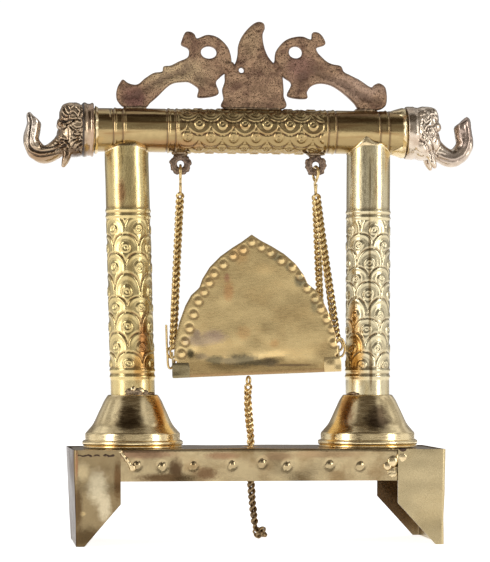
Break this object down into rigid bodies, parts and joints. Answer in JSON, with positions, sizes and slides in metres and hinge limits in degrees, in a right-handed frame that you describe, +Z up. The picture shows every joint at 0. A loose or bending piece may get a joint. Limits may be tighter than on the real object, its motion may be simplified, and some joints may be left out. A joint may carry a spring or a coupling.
{
  "type": "temple swing",
  "caption": "Brass table-top temple swing: two tube columns and a crossbeam on a sheet-metal table, with a chain-hung seat for a small figure and a pull chain.",
  "frame": {"origin": "on the ground under the middle of the crossbeam", "axes": "+Z up, +Y towards the open front of the seat, +X towards the right end when the swing is seen from behind"},
  "size_m": [0.264, 0.074, 0.3025],
  "materials": {
    "sheet_brass": "polished sheet with faint waves and soldered corners",
    "polished_brass": "bright polish, embossed",
    "cast_bronze": "sand cast, matte and grainy",
    "wire_brass": "drawn wire, lightly tarnished"
  },
  "bodies": {
    "frame": {"table_top": "sheet_brass", "left_end_panel": "sheet_brass", "right_end_panel": "sheet_brass", "left_bell_foot": "polished_brass", "right_bell_foot": "polished_brass", "left_column": "polished_brass", "right_column": "polished_brass", "crossbeam": "polished_brass", "left_elephant_head": "cast_bronze", "right_elephant_head": "cast_bronze", "crest_plaque": "cast_bronze", "left_peacock_bracket": "cast_bronze", "right_peacock_bracket": "cast_bronze", "left_lug": "cast_bronze", "right_lug": "cast_bronze"},
    "swing": {"left_top_hook": "wire_brass", "right_top_hook": "wire_brass", "left_rear_chain": "wire_brass", "left_front_chain": "wire_brass", "right_rear_chain": "wire_brass", "right_front_chain": "wire_brass", "left_rear_seat_hook": "wire_brass", "left_front_seat_hook": "wire_brass", "right_rear_seat_hook": "wire_brass", "right_front_seat_hook": "wire_brass", "pull_chain_eye": "wire_brass", "pull_chain_upper": "wire_brass", "seat_tray": "sheet_brass", "seat_back": "sheet_brass"},
    "pull_chain_end": {"pull_chain_lower": "wire_brass", "pull_chain_knot": "wire_brass"}
  },
  "joints": [
    {"name": "swing", "type": "hinge", "parent": "frame", "child": "swing", "pos_m": [0, 0, 0.2132], "axis": [1, 0, 0], "range_deg": [-15, 15], "deforming": ["pull_chain_upper"]},
    {"name": "pull_chain_sway", "type": "hinge", "parent": "frame", "child": "pull_chain_end", "pos_m": [0, 0, 0.054], "axis": [1, 0, 0], "range_deg": [-20, 20]}
  ]
}
